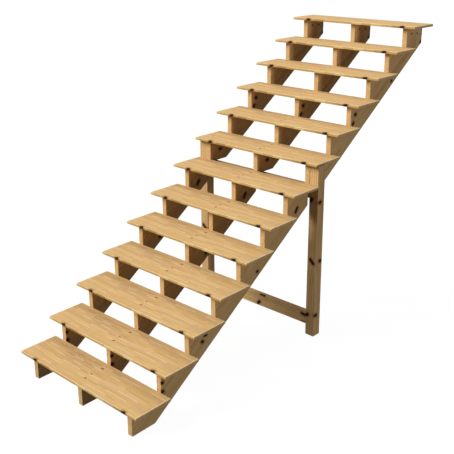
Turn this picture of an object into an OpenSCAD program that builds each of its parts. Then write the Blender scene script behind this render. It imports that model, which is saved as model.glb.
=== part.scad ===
// Straight open-riser timber stair.
// Thirteen boards lie on three saw-tooth stringers. The stringers come in two
// lengths: the lower three stand on the ground, the upper three stand on a
// bearer between two square posts. All joints are faces that touch.
// Origin: middle of the stair's width, middle of its depth, on the ground.
// +X along the treads, +Y the way the stair climbs, +Z up. Millimetres.

/* [Treads] */
// Length of a tread, side to side
tread_l = 1200; // [950:10:1500]
// Thickness of a tread
tread_t = 20; // [15:1:40]
// Overhang of a tread in front of the riser plane
nosing = 40; // [15:1:60]

/* [Steps] */
// Rise of one step
rise = 170; // [140:1:210]
// Going of one step
going = 250; // [210:1:310]
// Treads carried by the lower stringers, out of thirteen
lower_steps = 7; // [5:1:9]

/* [Stringers] */
// Thickness of a stringer
stringer_t = 42; // [30:1:60]
// Timber left below the inner corners of the steps, square to the slope
stringer_waist = 106; // [80:1:140]
// Outer face of an outer stringer, in from the tread end
stringer_inset = 88; // [86:1:160]
// Last seat stops short of its tread's back edge by this much
end_setback = 12; // [4:1:30]

/* [Posts, rail and bearer] */
// Side of a square post
post_w = 78; // [60:1:86]
// Front of the posts, rail and bearer, behind the riser plane they stand under
post_setback = 3; // [0:1:20]
// Thickness of the low cross rail
rail_t = 42; // [30:1:60]
// Height of the low cross rail
rail_h = 102; // [80:1:160]
// Underside of the low cross rail above the ground
rail_z = 88; // [40:1:200]
// Height of the bearer under the upper stringers; it is as deep as the posts
bearer_h = 86; // [60:1:140]

/* [Hidden] */
steps = 13;
tread_d = going + nosing;
flight_l = steps * going + nosing;
slope_l = sqrt(rise * rise + going * going);
// Drop of the stringer's lower edge, measured straight down
waist_drop = stringer_waist * slope_l / going;
// Run of the stringer's lower edge, measured along the ground
waist_run = stringer_waist * slope_l / rise;
// Riser plane where the two stringer lengths meet
joint_y = nosing + lower_steps * going;
joint_z = lower_steps * rise;
frame_y = joint_y + post_setback;
outer_x = tread_l / 2 - stringer_inset;
between_posts = 2 * outer_x;

// Front plane of step k, the face under its nosing
function riser_y(k) = nosing + (k - 1) * going;

// Height of the seat that carries tread k
function seat_z(k) = k * rise;

// Back of seat k on a board whose last seat is b
function seat_end_y(k, b) = riser_y(k + 1) - (k == b ? end_setback : 0);

// Front corner and back corner of every seat from step a to step b
function saw(a, b) = [
    for (k = [a:b], corner = [0, 1])
        [corner == 0 ? riser_y(k) : seat_end_y(k, b), seat_z(k)]
];

// Height of the stringer's lower edge at depth y
function lower_edge_z(y) = (y - nosing) * rise / going - waist_drop;

// Depth at which the lower edge reaches height z
function lower_edge_y(z) = nosing + z * going / rise + waist_run;

// Moves the stair so the origin is under its middle
module placed() {
    translate([0, -flight_l / 2, 0]) children();
}

module tread(k) {
    color([0.83, 0.66, 0.44])
        placed()
            translate([-tread_l / 2, riser_y(k) - nosing, seat_z(k)])
                cube([tread_l, tread_d, tread_t]);
}

// Saw-tooth board from step a to step b, cut level at height foot_z
module stringer(a, b, foot_z, x_mid) {
    end_y = riser_y(b + 1) - end_setback;
    outline = concat(
        [[riser_y(a), foot_z]],
        saw(a, b),
        [[end_y, lower_edge_z(end_y)], [lower_edge_y(foot_z), foot_z]]
    );
    color([0.72, 0.53, 0.32])
        placed()
            translate([x_mid - stringer_t / 2, 0, 0])
                rotate([90, 0, 90])
                    linear_extrude(height = stringer_t)
                        polygon(outline);
}

module lower_stringer(x_mid) {
    stringer(1, lower_steps, 0, x_mid);
}

module upper_stringer(x_mid) {
    stringer(lower_steps + 1, steps, joint_z, x_mid);
}

module post(side) {
    color([0.60, 0.44, 0.27])
        placed()
            translate([side * (outer_x + post_w / 2) - post_w / 2, frame_y, 0])
                cube([post_w, post_w, joint_z + rise]);
}

// Timber between the inner faces of the posts, flush with their fronts
module between_the_posts(z, depth, h) {
    color([0.66, 0.49, 0.30])
        placed()
            translate([-between_posts / 2, frame_y, z])
                cube([between_posts, depth, h]);
}

module cross_rail() {
    between_the_posts(rail_z, rail_t, rail_h);
}

module bearer() {
    between_the_posts(joint_z - bearer_h, post_w, bearer_h);
}

side_x = outer_x - stringer_t / 2;

tread(1);  // tread_01
tread(2);  // tread_02
tread(3);  // tread_03
tread(4);  // tread_04
tread(5);  // tread_05
tread(6);  // tread_06
tread(7);  // tread_07
tread(8);  // tread_08
tread(9);  // tread_09
tread(10);  // tread_10
tread(11);  // tread_11
tread(12);  // tread_12
tread(13);  // tread_13
lower_stringer(-side_x);  // lower_stringer_left
lower_stringer(0);  // lower_stringer_middle
lower_stringer(side_x);  // lower_stringer_right
upper_stringer(-side_x);  // upper_stringer_left
upper_stringer(0);  // upper_stringer_middle
upper_stringer(side_x);  // upper_stringer_right
post(-1);  // post_left
post(1);  // post_right
cross_rail();
bearer();
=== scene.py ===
# %% [markdown]
# # A garden stair in laminated pine
#
# This lesson dresses an open-riser timber stair: thirteen board treads, three saw-tooth stringers in
# two lengths, two square posts, a low rail and a bearer. The CAD model fixes every size. Here each
# board gets eased edges, grain that runs along its own length, knots, glued staves and a finish.
#
# First the CAD model is loaded, and its box is kept.

# %% Load the stair's frame
import math

import bmesh
import bpy
from mathutils import Matrix, Vector


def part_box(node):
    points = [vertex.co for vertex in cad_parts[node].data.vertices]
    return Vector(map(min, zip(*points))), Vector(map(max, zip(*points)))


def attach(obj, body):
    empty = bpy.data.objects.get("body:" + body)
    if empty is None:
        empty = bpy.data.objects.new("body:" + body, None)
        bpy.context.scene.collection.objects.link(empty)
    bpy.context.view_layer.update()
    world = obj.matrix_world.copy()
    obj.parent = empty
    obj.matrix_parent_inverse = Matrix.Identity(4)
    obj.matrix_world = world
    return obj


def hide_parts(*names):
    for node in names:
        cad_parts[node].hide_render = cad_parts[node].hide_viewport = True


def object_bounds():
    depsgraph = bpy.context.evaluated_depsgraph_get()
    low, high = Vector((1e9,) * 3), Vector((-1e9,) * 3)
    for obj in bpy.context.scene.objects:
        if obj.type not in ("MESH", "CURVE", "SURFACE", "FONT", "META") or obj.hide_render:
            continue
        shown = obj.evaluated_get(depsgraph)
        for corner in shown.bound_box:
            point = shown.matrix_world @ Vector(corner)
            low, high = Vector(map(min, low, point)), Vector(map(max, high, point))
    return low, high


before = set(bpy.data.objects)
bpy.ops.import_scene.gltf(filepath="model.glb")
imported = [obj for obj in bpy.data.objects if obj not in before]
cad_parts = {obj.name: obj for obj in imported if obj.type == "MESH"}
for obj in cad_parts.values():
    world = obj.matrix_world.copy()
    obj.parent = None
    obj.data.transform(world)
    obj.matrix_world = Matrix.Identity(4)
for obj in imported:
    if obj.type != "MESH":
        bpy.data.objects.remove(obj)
cad_box = [list(corner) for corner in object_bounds()]
nodes = sorted(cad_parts)
print("boards in the stair:", len(nodes))
print("overall size, m:", [round(b - a, 3) for a, b in zip(*cad_box)])

# %% [markdown]
# ## Where things are
#
# Rise and going, the height and the run of one step, are measured between two neighbouring treads. The
# stringers need both, and this way they follow the CAD model.

# %% Measure the flight
FRONT = cad_box[0][1]


def middle(name):
    """Centre of a board's box, in the stair's axes."""
    low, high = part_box(name)
    return (Vector(low) + Vector(high)) / 2


def kind_of(name):
    """tread, stringer or post, and board for the rail and the bearer."""
    for kind in ("tread", "stringer", "post"):
        if kind in name:
            return kind
    return "board"


GOING = middle("tread_02").y - middle("tread_01").y
RISE = middle("tread_02").z - middle("tread_01").z
SLOPE = math.atan2(RISE, GOING)
print(f"going {GOING:.3f} m, rise {RISE:.3f} m, slope {math.degrees(SLOPE):.1f} degrees")

# %% [markdown]
# A sawyer describes a board by its length, width and thickness, whichever way it stands in the
# building. So every board gets its own axes: X along its length, Y across its width, Z through its
# thickness. They are stored as the object's own rotation and place. The wood's pattern reads the
# Object texture coordinate, so it turns with the board, and one recipe serves boards that lie, stand
# or cross.

# %% Each board's own axes
LENGTHWISE = {"tread": (1, 0, 0), "stringer": (0, 1, 0), "post": (0, 0, 1), "board": (1, 0, 0)}
CROSSWISE = {"tread": (0, 1, 0), "stringer": (0, 0, 1), "post": (0, -1, 0), "board": (0, 0, 1)}


def board_frame(name):
    """Matrix from a board's own axes to the stair's axes."""
    along = Vector(LENGTHWISE[kind_of(name)])
    across = Vector(CROSSWISE[kind_of(name)])
    turn = Matrix((along, across, along.cross(across))).transposed().to_4x4()
    return Matrix.Translation(middle(name)) @ turn


def board_size(name):
    """Length, width and thickness of a board."""
    low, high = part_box(name)
    span = board_frame(name).to_3x3().inverted() @ (Vector(high) - Vector(low))
    return tuple(abs(side) for side in span)


for name in ("tread_01", "lower_stringer_left", "post_left", "cross_rail"):
    print(name, "length, width, thickness in mm:", [round(1000 * side) for side in board_size(name)])

# %% [markdown]
# ## Shader sums that read like sums
#
# A wood pattern is mostly arithmetic on coordinates. Wiring dozens of Math nodes by hand hides the
# idea, so one small class wraps a socket. Adding or multiplying two of these adds the Math node. Every
# other node comes from `make`, which takes the node's type, its settings and its inputs.

# %% A socket that can be used in sums
class Link:
    """One socket of a node tree. Sums on it add Math nodes to the same tree."""

    def __init__(self, tree, socket=None):
        self.tree = tree
        self.socket = socket

    def make(self, kind, settings=None, inputs=None, out=0):
        """Any node: settings are set first, then inputs by name or number. Returns one output."""
        node = self.tree.nodes.new(kind)
        for key, value in (settings or {}).items():
            setattr(node, key, value)
        for key, value in (inputs or {}).items():
            socket = node.inputs[key]
            if isinstance(value, Link):
                self.tree.links.new(value.socket, socket)
            else:
                socket.default_value = value
        return None if out is None else Link(self.tree, node.outputs[out])

    def math(self, operation, *others):
        """A Math node with this socket first."""
        inputs = dict(enumerate((self, *others)))
        return self.make("ShaderNodeMath", {"operation": operation}, inputs)

    def vector(self, operation, *others, out=0):
        """A Vector Math node with this socket first."""
        inputs = dict(enumerate((self, *others)))
        return self.make("ShaderNodeVectorMath", {"operation": operation}, inputs, out)

    def __add__(self, other):
        return self.math("ADD", other)

    __radd__ = __add__

    def __sub__(self, other):
        return self.math("SUBTRACT", other)

    def __rsub__(self, other):
        return self.make("ShaderNodeMath", {"operation": "SUBTRACT"}, {0: other, 1: self})

    def __mul__(self, other):
        return self.math("MULTIPLY", other)

    __rmul__ = __mul__

    def __truediv__(self, other):
        return self.math("DIVIDE", other)

    def __rtruediv__(self, other):
        return self.make("ShaderNodeMath", {"operation": "DIVIDE"}, {0: other, 1: self})

    def ease(self, start, end, low=0.0, high=1.0):
        """A soft step from low to high as this value goes from start to end."""
        inputs = {0: self, 1: start, 2: end, 3: low, 4: high}
        return self.make("ShaderNodeMapRange", {"interpolation_type": "SMOOTHSTEP"}, inputs)

    def blend(self, first, second):
        """Colour first where this value is 0, colour second where it is 1."""
        colours = {0: self, 6: first, 7: second}
        return self.make("ShaderNodeMix", {"data_type": "RGBA"}, colours, out=2)


def new_material(name):
    """An empty node material, and a Link to write its nodes with."""
    material = bpy.data.materials.new(name)
    material.use_nodes = True
    material.node_tree.nodes.clear()
    return material, Link(material.node_tree)


def output(pen, surface):
    """Joins a surface to the material's output."""
    pen.make("ShaderNodeOutputMaterial", None, {"Surface": surface}, out=None)


def pen_vector(pen, x, y, z):
    """One vector from three values."""
    return pen.make("ShaderNodeCombineXYZ", None, {0: x, 1: y, 2: z})


def parts_of(place):
    """The three values of a vector."""
    return [place.make("ShaderNodeSeparateXYZ", None, {0: place}, out=i) for i in range(3)]


print("a link can", ", ".join(name for name in vars(Link) if not name.startswith("_")))

# %% [markdown]
# ## Knots
#
# A knot is the foot of a branch: a dark, hard core with a reddish ring of resin round it, and the
# trunk's rings swing past it. Where the saw cuts the branch along its length, the knot shows as a long
# stroke. So each knot here is a stroke from one point to another, and the distance to that stroke
# drives its core, its ring and the bend in the grain. A round knot is a very short stroke.

# %% Distance to a knot
SHORTEST_STROKE = 1e-4


def knot_reach(place, start, end, radius):
    """0 on a knot's middle line, 1 at its edge, and more outside."""
    start, end = Vector(start), Vector(end)
    along = end - start
    offset = place.vector("SUBTRACT", tuple(start))
    if along.length > SHORTEST_STROKE:
        dot = offset.vector("DOT_PRODUCT", tuple(along / along.length_squared), out="Value")
        share = dot.math("MAXIMUM", 0.0).math("MINIMUM", 1.0)
        foot = pen_vector(place, share, share, share).vector("MULTIPLY", tuple(along))
        offset = offset.vector("SUBTRACT", foot)
    return offset.vector("LENGTH", out="Value") / radius


print("a stroke shorter than", 1000 * SHORTEST_STROKE, "mm counts as a round knot")

# %% [markdown]
# ## Glued staves
#
# The treads aren't one plank. They are glued from strips about 40 mm wide, and each strip is a row of
# short staves joined end to end with zigzag finger joints. Every stave comes from another part of the
# tree, so its tone and its grain differ from its neighbours'. White noise on the stave's row and
# number gives each one a chance colour, and that moves its pattern to another place in the log. A glue
# line doesn't show all the way along: it comes and goes in dashes, some pale and a few dark, and
# chance picks those too.

# %% Staves and glue lines
STAVES = {"width": 0.0415, "length": 0.33, "finger": 0.009}
FINGER_PITCH = 0.0055
ROW_SEED = 17.0
ROW_SHIFT = 3.7
FIRST_STAVE = 40.0
SEAM = (0.0016, 0.0038)
BUTT = (0.0004, 0.0024)
DASH = 0.095
DASH_SHIFT = 0.37
PALE_LUCK = (0.58, 0.64)
DARK_LUCK = (0.18, 0.14)


def staves(pen, place, width, length, finger):
    """A chance colour for each stave, and masks for pale seams, dark seams and finger joints."""
    x, y = parts_of(place)[:2]
    white = "ShaderNodeTexWhiteNoise"
    flat = {"noise_dimensions": "2D"}
    across = y / width + 0.5
    row = across.math("FLOOR")
    tooth = (y / FINGER_PITCH).math("PINGPONG", 0.5) * (2 * finger)
    start = pen.make(white, {"noise_dimensions": "1D"}, {"W": row + ROW_SEED}, out="Value")
    along = (x + tooth) / length + start * ROW_SHIFT + FIRST_STAVE
    number = along.math("FLOOR")
    stave = pen_vector(pen, row + 0.5, number + 0.5, 0.0)
    chance = pen.make(white, flat, {"Vector": stave}, out="Color")
    seam = (across.math("PINGPONG", 0.5) * width).ease(*SEAM, 1.0, 0.0)
    butt = (along.math("PINGPONG", 0.5) * length).ease(*BUTT, 1.0, 0.0)
    edge = (across + 0.5).math("FLOOR")
    run = (x / DASH + edge * DASH_SHIFT).math("FLOOR")
    dash = pen_vector(pen, edge + 0.5, run + 0.5, 0.0)
    luck = pen.make(white, flat, {"Vector": dash}, out="Value")
    return chance, seam * luck.ease(*PALE_LUCK), seam * luck.ease(*DARK_LUCK), butt


print("a stave is", round(1000 * STAVES["width"], 1), "mm wide, so a tread shows",
      round(board_size("tread_01")[1] / STAVES["width"], 1), "rows")

# %% [markdown]
# ## Pine, from the inside out
#
# Wood is a solid pattern, so it is worked out in three dimensions and every face cuts through it. Then
# the long faces, the edges and the sawn ends agree with each other, as they do on a real board.
#
# - **Growth rings** are distances from the pith, the middle of the tree, bent by slow noise. Each ring
#   fades up slowly from pale early wood to dark late wood, and stops sharply.
# - **Fibres** are noise stretched a long way along the grain, **flecks** are shorter and stronger, and
#   **clouds** are broad and slow.
# - **Edges** are paler. Partly that is wear from hands and boots, and partly a painted highlight,
#   strongest along a tread's two ends. A tread's front and back faces are painted a little darker and
#   warmer than its top, as painted shade.
# - **Sapwood** is the pale outer wood that shows in patches.
#
# Each pair of numbers below is where a soft step starts and ends. A scale is how often a noise repeats
# in a metre: along the board, across it and through it.

# %% Early wood, late wood, knots and glue
EARLY = (0.665, 0.440, 0.200, 1)
LATE = (0.450, 0.255, 0.095, 1)
CREAM = (0.800, 0.610, 0.350, 1)
UMBER = (0.300, 0.140, 0.045, 1)
RESIN = (0.270, 0.110, 0.038, 1)
BLACK_KNOT = (0.026, 0.011, 0.005, 1)


BEND_SCALE, BEND_DETAIL, BEND = (1.2, 8.0, 8.0), 2.0, 3.4
FIBRE_SCALE, FIBRE_DETAIL = (13.0, 560.0, 560.0), 3.0
FLECK_SCALE, FLECK_DETAIL = (9.0, 210.0, 210.0), 2.0
CLOUD_SCALE, CLOUD_DETAIL = (2.2, 26.0, 26.0), 2.0
NOISE_ROUGHNESS = 0.55


def streaks(place, scale, detail):
    """Noise stretched by a different scale along each axis of the board."""
    stretched = place.vector("MULTIPLY", scale)
    inputs = {"Vector": stretched, "Scale": 1.0, "Detail": detail, "Roughness": NOISE_ROUGHNESS}
    return place.make("ShaderNodeTexNoise", None, inputs, out="Fac")


print("pine goes from", EARLY[:3], "to", LATE[:3])

# %% [markdown]
# The recipe runs in the order in which a board comes about: the log and its rings, then colour from
# the rings, then glue, wear and knots on top. The finish is a thin oil, which hardly shines. Roughness
# and bump follow the fibres, so a highlight breaks up along the grain.

# %% One recipe for every pine
STAVE_JUMP = (9.0, 0.10, 0.08)
SKIN_PULL = 2.5
FULL_KNOT = 0.0085
CORE, HALO = (0.70, 1.05), (0.9, 2.4)
KNOT_BEND = 1.6
LATE_GROWS, LATE_STOPS = (0.30, 0.90), (0.92, 1.0)
FIBRE_SHOWS, FIBRE_DEPTH = (0.36, 0.72), 0.20
CLOUD_SHOWS, CLOUD_DEPTH = (0.32, 0.70), 0.34
DARK_FLECK, DARK_FLECK_DEPTH = (0.62, 0.74), 0.7
PALE_FLECK, PALE_FLECK_DEPTH = (0.38, 0.27), 0.40
STAVE_TONE, STAVE_BLUE = (0.945, 1.045), (0.93, 1.06)
DARK_SEAM, PALE_SEAM, PALE_BUTT = 0.46, 0.70, 0.40
# Painted shade: a tread's front and back faces are painted darker and warmer than its top.
PAINTED_SHADE_FACES, PAINTED_SHADE_TINT = (-0.0016, -0.0006), (0.80, 0.78, 0.57)
# Pale tread rims and bevels: partly wear, partly a painted highlight, far stronger along the two ends.
END_PAINTED_HIGHLIGHT, END_PAINTED_HIGHLIGHT_DEPTH = (-0.0085, -0.0045), 0.8
SIDE_WEAR_AND_HIGHLIGHT, SIDE_WEAR_AND_HIGHLIGHT_DEPTH = (-0.0065, -0.0035), 0.25
TOP_WEAR_AND_HIGHLIGHT = (0.002, 0.006)
ARRIS_WEAR_AND_HIGHLIGHT = 0.15
SAP_FADE, SAP_DEPTH = (0.7, 1.1), 0.30
SAP_CLOUD = (0.30, 0.62, 0.55, 1.0)
RESIN_DEPTH = 0.62
CORE_GRAIN = (0.2, 0.5, 0.86, 1.0)
ROUGH, ROUGH_FIBRE, ROUGH_KNOT, SMOOTH_ARRIS = 0.44, 0.18, 0.25, 0.06
RAISED_LATE, RAISED_FIBRE, SUNK_KNOT = 0.30, 0.35, 0.8
BUMP_STRENGTH, BUMP_UNIT = 0.45, 0.001
OILED_SPECULAR = 0.10


def finish_wood(pen, colour, roughness, height):
    """Ends a material in a lightly oiled wood surface, with a bump from height in millimetres."""
    inputs = {"Strength": BUMP_STRENGTH, "Distance": BUMP_UNIT, "Height": height}
    normal = pen.make("ShaderNodeBump", None, inputs)
    inputs = {"Base Color": colour, "Roughness": roughness, "Normal": normal}
    inputs["Specular IOR Level"] = OILED_SPECULAR
    output(pen, pen.make("ShaderNodeBsdfPrincipled", None, inputs))


def wood(
    name, pith, ring_gap, knots,
    lean=0.0, skin=0.0, glued=None, rubbed=None, figure=0.5, shade=1.0, sapwood=(),
):
    """A pine.

    pith is how far off the tree's middle lies, across and through the board. ring_gap is the distance
    from one ring to the next, and lean turns the grain. skin is half the thickness of a board whose two
    faces share their knots. glued gives a stave's sizes. rubbed is half the length and half the width of
    a board whose top rim is painted pale, partly as wear and partly as a painted highlight that is
    strongest at the ends, and whose front and back faces get painted shade. figure is how strongly the
    rings show. shade scales the colour as painted light: lighter on the rail, and painted shade on the
    bearer and a touch on the posts. sapwood lists pale patches in the same way as knots.
    """
    material, pen = new_material(name)
    place = pen.make("ShaderNodeTexCoord", out="Object")
    log = place
    if lean:
        turn = {"Vector": place, "Angle": -lean}
        log = pen.make("ShaderNodeVectorRotate", {"rotation_type": "Z_AXIS"}, turn)
    if glued:
        chance, pale, dark, butt = staves(pen, place, **glued)
        shift = chance.vector("SUBTRACT", (0.5, 0.5, 0.5)).vector("MULTIPLY", STAVE_JUMP)
        log = log.vector("ADD", shift)
    near = place
    if skin:
        x, y, z = parts_of(place)
        near = pen_vector(pen, x, y, (z.math("ABSOLUTE") - skin) * SKIN_PULL + skin)
    core, halo = 0.0, 0.0
    for start, end, radius in knots:
        reach = knot_reach(near, start, end, radius)
        core = reach.ease(*CORE, min(1.0, radius / FULL_KNOT), 0.0).math("MAXIMUM", core)
        halo = reach.ease(*HALO, 1.0, 0.0).math("MAXIMUM", halo)
    across, through = parts_of(log)[1:]
    off = pen_vector(pen, 0.0, across - pith[0], through - pith[1])
    from_pith = off.vector("LENGTH", out="Value")
    rings = from_pith / ring_gap + streaks(log, BEND_SCALE, BEND_DETAIL) * BEND + halo * KNOT_BEND
    ring = rings.math("FRACT")
    late = ring.ease(*LATE_GROWS) * ring.ease(*LATE_STOPS, 1.0, 0.0)
    fibre = streaks(log, FIBRE_SCALE, FIBRE_DETAIL)
    fleck = streaks(log, FLECK_SCALE, FLECK_DETAIL)
    cloud = streaks(log, CLOUD_SCALE, CLOUD_DETAIL)
    depth = late * figure
    depth = depth + fibre.ease(*FIBRE_SHOWS) * FIBRE_DEPTH + cloud.ease(*CLOUD_SHOWS) * CLOUD_DEPTH
    colour = depth.blend(EARLY, LATE)
    colour = (fleck.ease(*DARK_FLECK) * figure * DARK_FLECK_DEPTH).blend(colour, UMBER)
    colour = (fleck.ease(*PALE_FLECK) * PALE_FLECK_DEPTH).blend(colour, CREAM)
    if glued:
        green, blue = parts_of(chance)[1:]
        tone = green.ease(0.0, 1.0, *STAVE_TONE)
        tint = pen_vector(pen, tone, tone, tone * blue.ease(0.0, 1.0, *STAVE_BLUE))
        colour = colour.vector("MULTIPLY", tint)
        colour = (dark * DARK_SEAM).blend(colour, UMBER)
        colour = ((pale * PALE_SEAM).math("MAXIMUM", butt * PALE_BUTT)).blend(colour, CREAM)
    if rubbed:
        x, y, z = parts_of(place)
        past_end = x.math("ABSOLUTE") - rubbed[0]
        past_side = y.math("ABSOLUTE") - rubbed[1]
        # Painted shade: darkens and warms a tread's front and back faces.
        colour = past_side.ease(*PAINTED_SHADE_FACES).blend(colour, colour.vector("MULTIPLY", PAINTED_SHADE_TINT))
        # Pale top rims: partly wear, partly a painted highlight, far stronger along the two ends.
        ends = past_end.ease(*END_PAINTED_HIGHLIGHT) * END_PAINTED_HIGHLIGHT_DEPTH
        sides = past_side.ease(*SIDE_WEAR_AND_HIGHLIGHT) * SIDE_WEAR_AND_HIGHLIGHT_DEPTH
        colour = (ends.math("MAXIMUM", sides) * z.ease(*TOP_WEAR_AND_HIGHLIGHT)).blend(colour, CREAM)
    arris = pen.make("ShaderNodeAttribute", {"attribute_name": "arris"}, out="Fac")
    # Bevel faces paler: partly wear, partly a painted highlight along every edge.
    colour = (arris * ARRIS_WEAR_AND_HIGHLIGHT).blend(colour, CREAM)
    for start, end, radius in sapwood:
        paler = knot_reach(near, start, end, radius).ease(*SAP_FADE, SAP_DEPTH, 0.0)
        colour = (paler * cloud.ease(*SAP_CLOUD)).blend(colour, CREAM)
    # shade: painted light on the rail, painted shade on the bearer and a touch of it on the posts.
    if shade != 1.0:
        colour = colour.vector("MULTIPLY", (shade, shade, shade))
    colour = (halo * RESIN_DEPTH).blend(colour, RESIN)
    colour = (core * fibre.ease(*CORE_GRAIN)).blend(colour, BLACK_KNOT)
    roughness = fibre * ROUGH_FIBRE + ROUGH + core * ROUGH_KNOT - arris * SMOOTH_ARRIS
    height = late * RAISED_LATE + fibre * RAISED_FIBRE - core * SUNK_KNOT
    finish_wood(pen, colour, roughness, height)
    return material


print("roughness away from knots is between", ROUGH, "and", round(ROUGH + ROUGH_FIBRE, 2))

# %% [markdown]
# ## The boards' own knots
#
# Knots are what a visitor notices first: two black ones on the front edge of every tread, three pin
# knots along its middle, pairs on the faces of the stringers, and a long one part way up each post.
# Places are in metres from the board's middle: along, across and through it. On the stringers they are
# easier to give as the distance behind the bottom tread's front edge, and the height above the floor.

# %% Tread, post and rail knots
TREAD_KNOTS = [
    ((-0.443, -0.146, -0.003), (-0.425, -0.146, 0.003), 0.0130),
    ((0.475, -0.146, -0.003), (0.493, -0.146, 0.003), 0.0130),
    ((0.008, -0.065, 0.010), (0.018, -0.064, 0.010), 0.0050),
    ((0.000, -0.007, 0.010), (0.009, -0.007, 0.010), 0.0042),
    ((0.003, 0.082, 0.010), (0.014, 0.083, 0.010), 0.0052),
    ((0.178, -0.100, -0.012), (0.186, -0.100, -0.012), 0.0070),
    ((-0.300, 0.060, -0.012), (-0.293, 0.060, -0.012), 0.0070),
]
POST_KNOTS = [
    ((-0.054, 0.041, -0.010), (-0.079, 0.041, 0.015), 0.0145),
    ((-0.066, -0.020, 0.041), (-0.064, -0.007, 0.041), 0.0140),
    ((-0.515, 0.041, -0.028), (-0.507, 0.041, -0.020), 0.0145),
    ((-0.506, 0.012, 0.041), (-0.504, 0.026, 0.041), 0.0145),
    ((0.409, 0.041, -0.024), (0.421, 0.041, -0.016), 0.0160),
    ((0.402, 0.006, 0.041), (0.402, 0.022, 0.041), 0.0145),
]
RAIL_KNOTS = [
    ((0.062, 0.053, 0.021), (0.106, 0.050, 0.021), 0.0095),
    ((0.038, -0.034, 0.021), (0.054, -0.015, 0.021), 0.0120),
    ((0.476, 0.024, 0.021), (0.508, 0.019, 0.021), 0.0110),
    ((0.484, -0.050, 0.021), (0.510, -0.053, 0.021), 0.0105),
    ((-0.316, 0.012, 0.021), (-0.306, 0.010, 0.021), 0.0120),
]
for owner, knots in (("tread", TREAD_KNOTS), ("post", POST_KNOTS), ("rail", RAIL_KNOTS)):
    print("knots on a", owner + ":", len(knots))

# %% [markdown]
# Each line below is one knot on a stringer: distance back and height of its first end, the same of its
# second end, and its radius. The three stringers of a length share their knots.

# %% Stringer knots
LOWER_STROKES = [
    (0.290, 0.262, 0.303, 0.259, 0.0125),
    (0.290, 0.200, 0.302, 0.196, 0.0140),
    (0.683, 0.434, 0.704, 0.432, 0.0085),
    (0.661, 0.401, 0.667, 0.397, 0.0130),
    (1.212, 0.716, 1.218, 0.716, 0.0115),
    (1.635, 1.040, 1.652, 1.065, 0.0140),
]
UPPER_STROKES = [
    (1.900, 1.276, 1.914, 1.276, 0.0135),
    (2.342, 1.628, 2.354, 1.628, 0.0135),
    (2.319, 1.559, 2.327, 1.567, 0.0145),
    (2.838, 1.817, 2.844, 1.817, 0.0115),
    (3.262, 2.080, 3.274, 2.085, 0.0150),
    (3.273, 2.196, 3.271, 2.140, 0.0080),
    (3.108, 2.161, 3.113, 2.162, 0.0065),
    (3.200, 2.157, 3.206, 2.156, 0.0065),
]


def on_stringer(name, strokes):
    """Stringer knots, in the stringer's own axes, at the skin of its face."""
    inward = board_frame(name).inverted()
    skin = board_size(name)[2] / 2
    knots = []
    for back_a, height_a, back_b, height_b, radius in strokes:
        ends = []
        for back, height in ((back_a, height_a), (back_b, height_b)):
            point = inward @ Vector((middle(name).x, FRONT + back, height))
            ends.append((point.x, point.y, skin))
        knots.append((*ends, radius))
    return knots


LOWER_KNOTS = on_stringer("lower_stringer_middle", LOWER_STROKES)
UPPER_KNOTS = on_stringer("upper_stringer_middle", UPPER_STROKES)
print("knots on a lower stringer:", len(LOWER_KNOTS), "on an upper one:", len(UPPER_KNOTS))

# %% [markdown]
# ## One wood for each kind of board
#
# The boards differ by where in the log they were cut. A face that touches the rings shows them as
# arches, and a face that cuts across them shows lines. The treads show little of either, because their
# staves are cut small. Tread 8 has one dark streak more at its right end. The bearer is painted much
# darker than the rail, as painted shade behind tread 7, and the rail a little lighter, as painted light.

# %% The woods
END_STREAK = ((0.601, -0.140, -0.0065), (0.601, -0.060, -0.0060), 0.0036)
RIM = tuple(side / 2 for side in board_size("tread_01")[:2])
LAID = {"glued": STAVES, "rubbed": RIM, "figure": 0.21}
SAWN = {"lean": SLOPE, "skin": board_size("lower_stringer_left")[2] / 2, "figure": 0.50}
SAPWOOD = on_stringer("upper_stringer_middle", [(3.250, 2.080, 3.235, 2.200, 0.060)])
WOODS = {
    "tread": wood("laminated_pine", (0.03, -0.05), 0.0052, TREAD_KNOTS, **LAID),
    "streaked": wood(
        "laminated_pine_streaked", (0.03, -0.05), 0.0052, TREAD_KNOTS + [END_STREAK], **LAID
    ),
    "lower": wood("lower_pine", (0.03, -0.085), 0.0095, LOWER_KNOTS, **SAWN),
    "upper": wood("upper_pine", (-0.05, -0.080), 0.0095, UPPER_KNOTS, sapwood=SAPWOOD, **SAWN),
    # The shade values below stand in for light: painted light on the rail, painted shade on the bearer.
    "post": wood("post_pine", (-0.052, -0.060), 0.0105, POST_KNOTS, figure=0.62, shade=0.98),
    "rail": wood("rail_pine_painted_light", (-0.03, -0.06), 0.0080, RAIL_KNOTS, figure=0.55, shade=1.06),
    "bearer": wood("bearer_pine_painted_shade", (-0.03, -0.06), 0.0080, RAIL_KNOTS, figure=0.55, shade=0.62),
}
print("woods:", ", ".join(sorted(WOODS)))

# %% [markdown]
# ## Sawing the boards
#
# Treads, posts, rail and bearer are straight blocks of a board's size. A stringer is an outline pushed
# through its thickness. The outline is drawn as a joiner marks it with a framing square: rise, going,
# rise, going up the board, a plumb cut at its end, and a straight underside. The waist is the timber
# left between that underside and the inner corners of the steps, square to the slope.

# %% Outlines
WAIST = 0.106


def block(size):
    """A straight board, centred, in its own axes."""
    shape = bmesh.new()
    bmesh.ops.create_cube(shape, size=1.0)
    bmesh.ops.scale(shape, vec=size, verts=shape.verts)
    return shape


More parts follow.
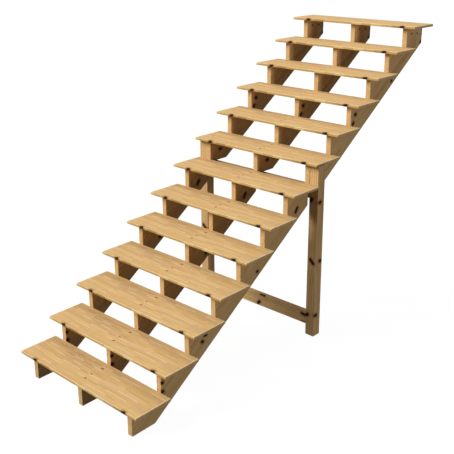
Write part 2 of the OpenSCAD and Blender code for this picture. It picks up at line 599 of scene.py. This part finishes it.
def saw_tooth(name):
    """A stringer's outline, pushed through its thickness, centred, in its own axes."""
    low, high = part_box(name)
    steps = round((high[2] - low[2]) / RISE)
    drop = WAIST / math.cos(SLOPE)
    outline = [(low[1], low[2])]
    for step in range(1, steps + 1):
        outline.append((low[1] + (step - 1) * GOING, low[2] + step * RISE))
        outline.append((min(low[1] + step * GOING, high[1]), low[2] + step * RISE))
    outline.append((high[1], low[2] + (high[1] - low[1]) * RISE / GOING - drop))
    outline.append((low[1] + drop * GOING / RISE, low[2]))
    centre = middle(name)
    half = (high[0] - low[0]) / 2
    shape = bmesh.new()
    rim = [shape.verts.new((y - centre.y, z - centre.z, -half)) for y, z in outline]
    side = shape.faces.new(rim)
    pushed = bmesh.ops.extrude_face_region(shape, geom=[side])["geom"]
    lifted = [part for part in pushed if isinstance(part, bmesh.types.BMVert)]
    bmesh.ops.translate(shape, vec=(0, 0, 2 * half), verts=lifted)
    bmesh.ops.recalc_face_normals(shape, faces=shape.faces)
    return shape


trial = saw_tooth("lower_stringer_left")
print("a lower stringer's outline has", len(trial.verts) // 2, "corners")
trial.free()

# %% [markdown]
# ## Easing the edges
#
# A planer leaves every edge slightly round, and the round is what catches the light. It is real
# geometry here. The bevel's own faces are marked with an attribute named arris, which the wood reads
# to look smoother there and paler: partly wear, partly a painted highlight. A weighted-normal
# modifier keeps the wide faces flat.

# %% Make and place one board
ROUND_STEPS = 3
EASE = {"tread": 0.0032, "stringer": 0.0028, "post": 0.0040, "board": 0.0030}


def wood_for(name):
    """Which wood a board is cut from."""
    if name == "tread_08":
        return WOODS["streaked"]
    if kind_of(name) == "board":
        return WOODS["bearer" if name == "bearer" else "rail"]
    return WOODS[name.split("_")[0] if kind_of(name) == "stringer" else kind_of(name)]


def make_board(name):
    """Builds one board, eases its edges, and puts it in place of its CAD node."""
    kind = kind_of(name)
    shape = saw_tooth(name) if kind == "stringer" else block(board_size(name))
    arris = shape.faces.layers.float.new("arris")
    eased = bmesh.ops.bevel(
        shape, geom=shape.edges, affect="EDGES", offset=EASE[kind],
        segments=ROUND_STEPS, profile=0.5, clamp_overlap=True,
    )
    for face in eased["faces"]:
        face[arris] = 1.0
    for face in shape.faces:
        face.smooth = True
    mesh = bpy.data.meshes.new(name + "_board")
    shape.to_mesh(mesh)
    shape.free()
    mesh.materials.append(wood_for(name))
    piece = bpy.data.objects.new(name + "_board", mesh)
    bpy.context.scene.collection.objects.link(piece)
    piece.matrix_world = board_frame(name)
    piece.modifiers.new("flat faces", "WEIGHTED_NORMAL").keep_sharp = True
    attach(piece, "root")
    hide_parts(name)
    return piece


boards = {name: make_board(name) for name in nodes}
faces = sum(len(piece.data.polygons) for piece in boards.values())
print("made", len(boards), "boards with", faces, "faces")

# %% [markdown]
# ## Floor, light and camera
#
# The floor is a plain, very pale sheet that glows, like a studio's light table, so the stair throws
# only a faint shadow. It doesn't throw light back at the stair, which keeps the shaded faces rich.

# %% Floor
FLOOR_HALF = 120.0
FLOOR_DROP = 0.0005
FLOOR_GLOW = 1.04
FLOOR_MATT = 0.07
table = bmesh.new()
bmesh.ops.create_grid(table, x_segments=1, y_segments=1, size=FLOOR_HALF)
floor_mesh = bpy.data.meshes.new("floor")
table.to_mesh(floor_mesh)
table.free()
floor = bpy.data.objects.new("floor", floor_mesh)
floor.location = (0.0, 0.0, -FLOOR_DROP)
floor.visible_diffuse = False
floor.visible_glossy = False
bpy.context.scene.collection.objects.link(floor)
floor_material, pen = new_material("pale_floor")
glow = pen.make("ShaderNodeEmission", None, {"Color": (1, 1, 1, 1), "Strength": FLOOR_GLOW})
matt = pen.make("ShaderNodeBsdfDiffuse", None, {"Color": (0.9, 0.9, 0.9, 1)})
sheet = pen.make("ShaderNodeMixShader", None, {0: FLOOR_MATT, 1: glow, 2: matt})
output(pen, sheet)
floor_mesh.materials.append(floor_material)
print("floor is", 2 * FLOOR_HALF, "m square")

# %% [markdown]
# The key lamp is large and far away, in front, to the left and above. Being far, it lights the top
# tread no more than the bottom one. A lamp overhead lifts the treads' tops, and two weak ones,
# at the right and behind, keep the shaded faces readable. The sky gives an even light. It is brighter
# in reflections than in the light it throws, so the oiled wood gets a soft sheen, and it is plain
# white where the camera sees it.

# %% Sky and lamps
SKY_LIGHT, SKY_SHEEN, SKY_SEEN = 0.104, 0.45, 1.0
LAMP_TARGET = Vector((0.0, 0.0, 1.1))
scene = bpy.context.scene
scene.view_settings.view_transform = "Standard"
world = bpy.data.worlds.new("even sky")
world.use_nodes = True
world.node_tree.nodes.clear()
sky = Link(world.node_tree)
seen = sky.make("ShaderNodeLightPath", out="Is Camera Ray")
shiny = sky.make("ShaderNodeLightPath", out="Is Glossy Ray")
even = sky.make("ShaderNodeBackground", None, {"Color": (1, 1, 1, 1), "Strength": SKY_LIGHT})
bright = sky.make("ShaderNodeBackground", None, {"Color": (1, 1, 1, 1), "Strength": SKY_SHEEN})
around = sky.make("ShaderNodeMixShader", None, {0: shiny, 1: even, 2: bright})
white = sky.make("ShaderNodeBackground", None, {"Color": (1, 1, 1, 1), "Strength": SKY_SEEN})
both = sky.make("ShaderNodeMixShader", None, {0: seen, 1: around, 2: white})
sky.make("ShaderNodeOutputWorld", None, {"Surface": both}, out=None)
scene.world = world


def lamp(name, left, up, distance, size, watts):
    """A square soft lamp aimed at the stair's middle: degrees left of the front, degrees up, metres."""
    light = bpy.data.lights.new(name, "AREA")
    light.shape = "SQUARE"
    light.size = size
    light.energy = watts
    holder = bpy.data.objects.new(name, light)
    turn, rise = math.radians(left), math.radians(up)
    away = Vector((-math.sin(turn) * math.cos(rise), -math.cos(turn) * math.cos(rise), math.sin(rise)))
    holder.location = LAMP_TARGET + away * distance
    holder.rotation_euler = away.to_track_quat("Z", "Y").to_euler()
    scene.collection.objects.link(holder)
    return holder


LAMPS = {
    "key": (42.0, 35.0, 80.0, 38.0, 93500.0),
    "top_light": (180.0, 80.0, 8.0, 3.0, 165.0),
    "right_fill": (-90.0, 6.0, 12.0, 1.5, 295.0),
    "back_fill": (160.0, -4.0, 12.0, 3.0, 450.0),
}
for name, values in LAMPS.items():
    print("lamp", name, "at", [round(v, 2) for v in lamp(name, *values).location])

# %% [markdown]
# The camera stands in front, to the right of the stair, a little above the top tread, and looks down
# at it. Azimuth turns it round the stair from the front, elevation raises it, and roll tips it
# sideways. The lens is a moderate telephoto, and its shift frames the stair without changing the
# perspective.

# %% Camera
CAMERA_PLACE = Vector((3.6651, FRONT - 2.5446, 2.9172))
AZIMUTH, ELEVATION, ROLL = math.radians(42.479), math.radians(18.561), math.radians(-0.248)
SENSOR_MM, LENS_MM = 36.0, 61.46
SHIFT_X, SHIFT_Y = 0.0021, -0.0699
NEAREST, FARTHEST = 0.1, 400.0
lens = bpy.data.cameras.new("camera")
camera = bpy.data.objects.new("camera", lens)
outward = Vector((math.sin(AZIMUTH), -math.cos(AZIMUTH), 0.0))
backward = outward * math.cos(ELEVATION) + Vector((0.0, 0.0, math.sin(ELEVATION)))
level = Vector((math.cos(AZIMUTH), math.sin(AZIMUTH), 0.0))
upward = backward.cross(level)
right = level * math.cos(ROLL) + upward * math.sin(ROLL)
above = upward * math.cos(ROLL) - level * math.sin(ROLL)
turn = Matrix((right, above, backward)).transposed().to_4x4()
camera.matrix_world = Matrix.Translation(CAMERA_PLACE) @ turn
lens.sensor_width = SENSOR_MM
lens.lens = LENS_MM
lens.shift_x, lens.shift_y = SHIFT_X, SHIFT_Y
lens.clip_start, lens.clip_end = NEAREST, FARTHEST
scene.collection.objects.link(camera)
scene.camera = camera
print("camera is", round((camera.location - middle("tread_07")).length, 2), "m from the middle tread")

# %% [markdown]
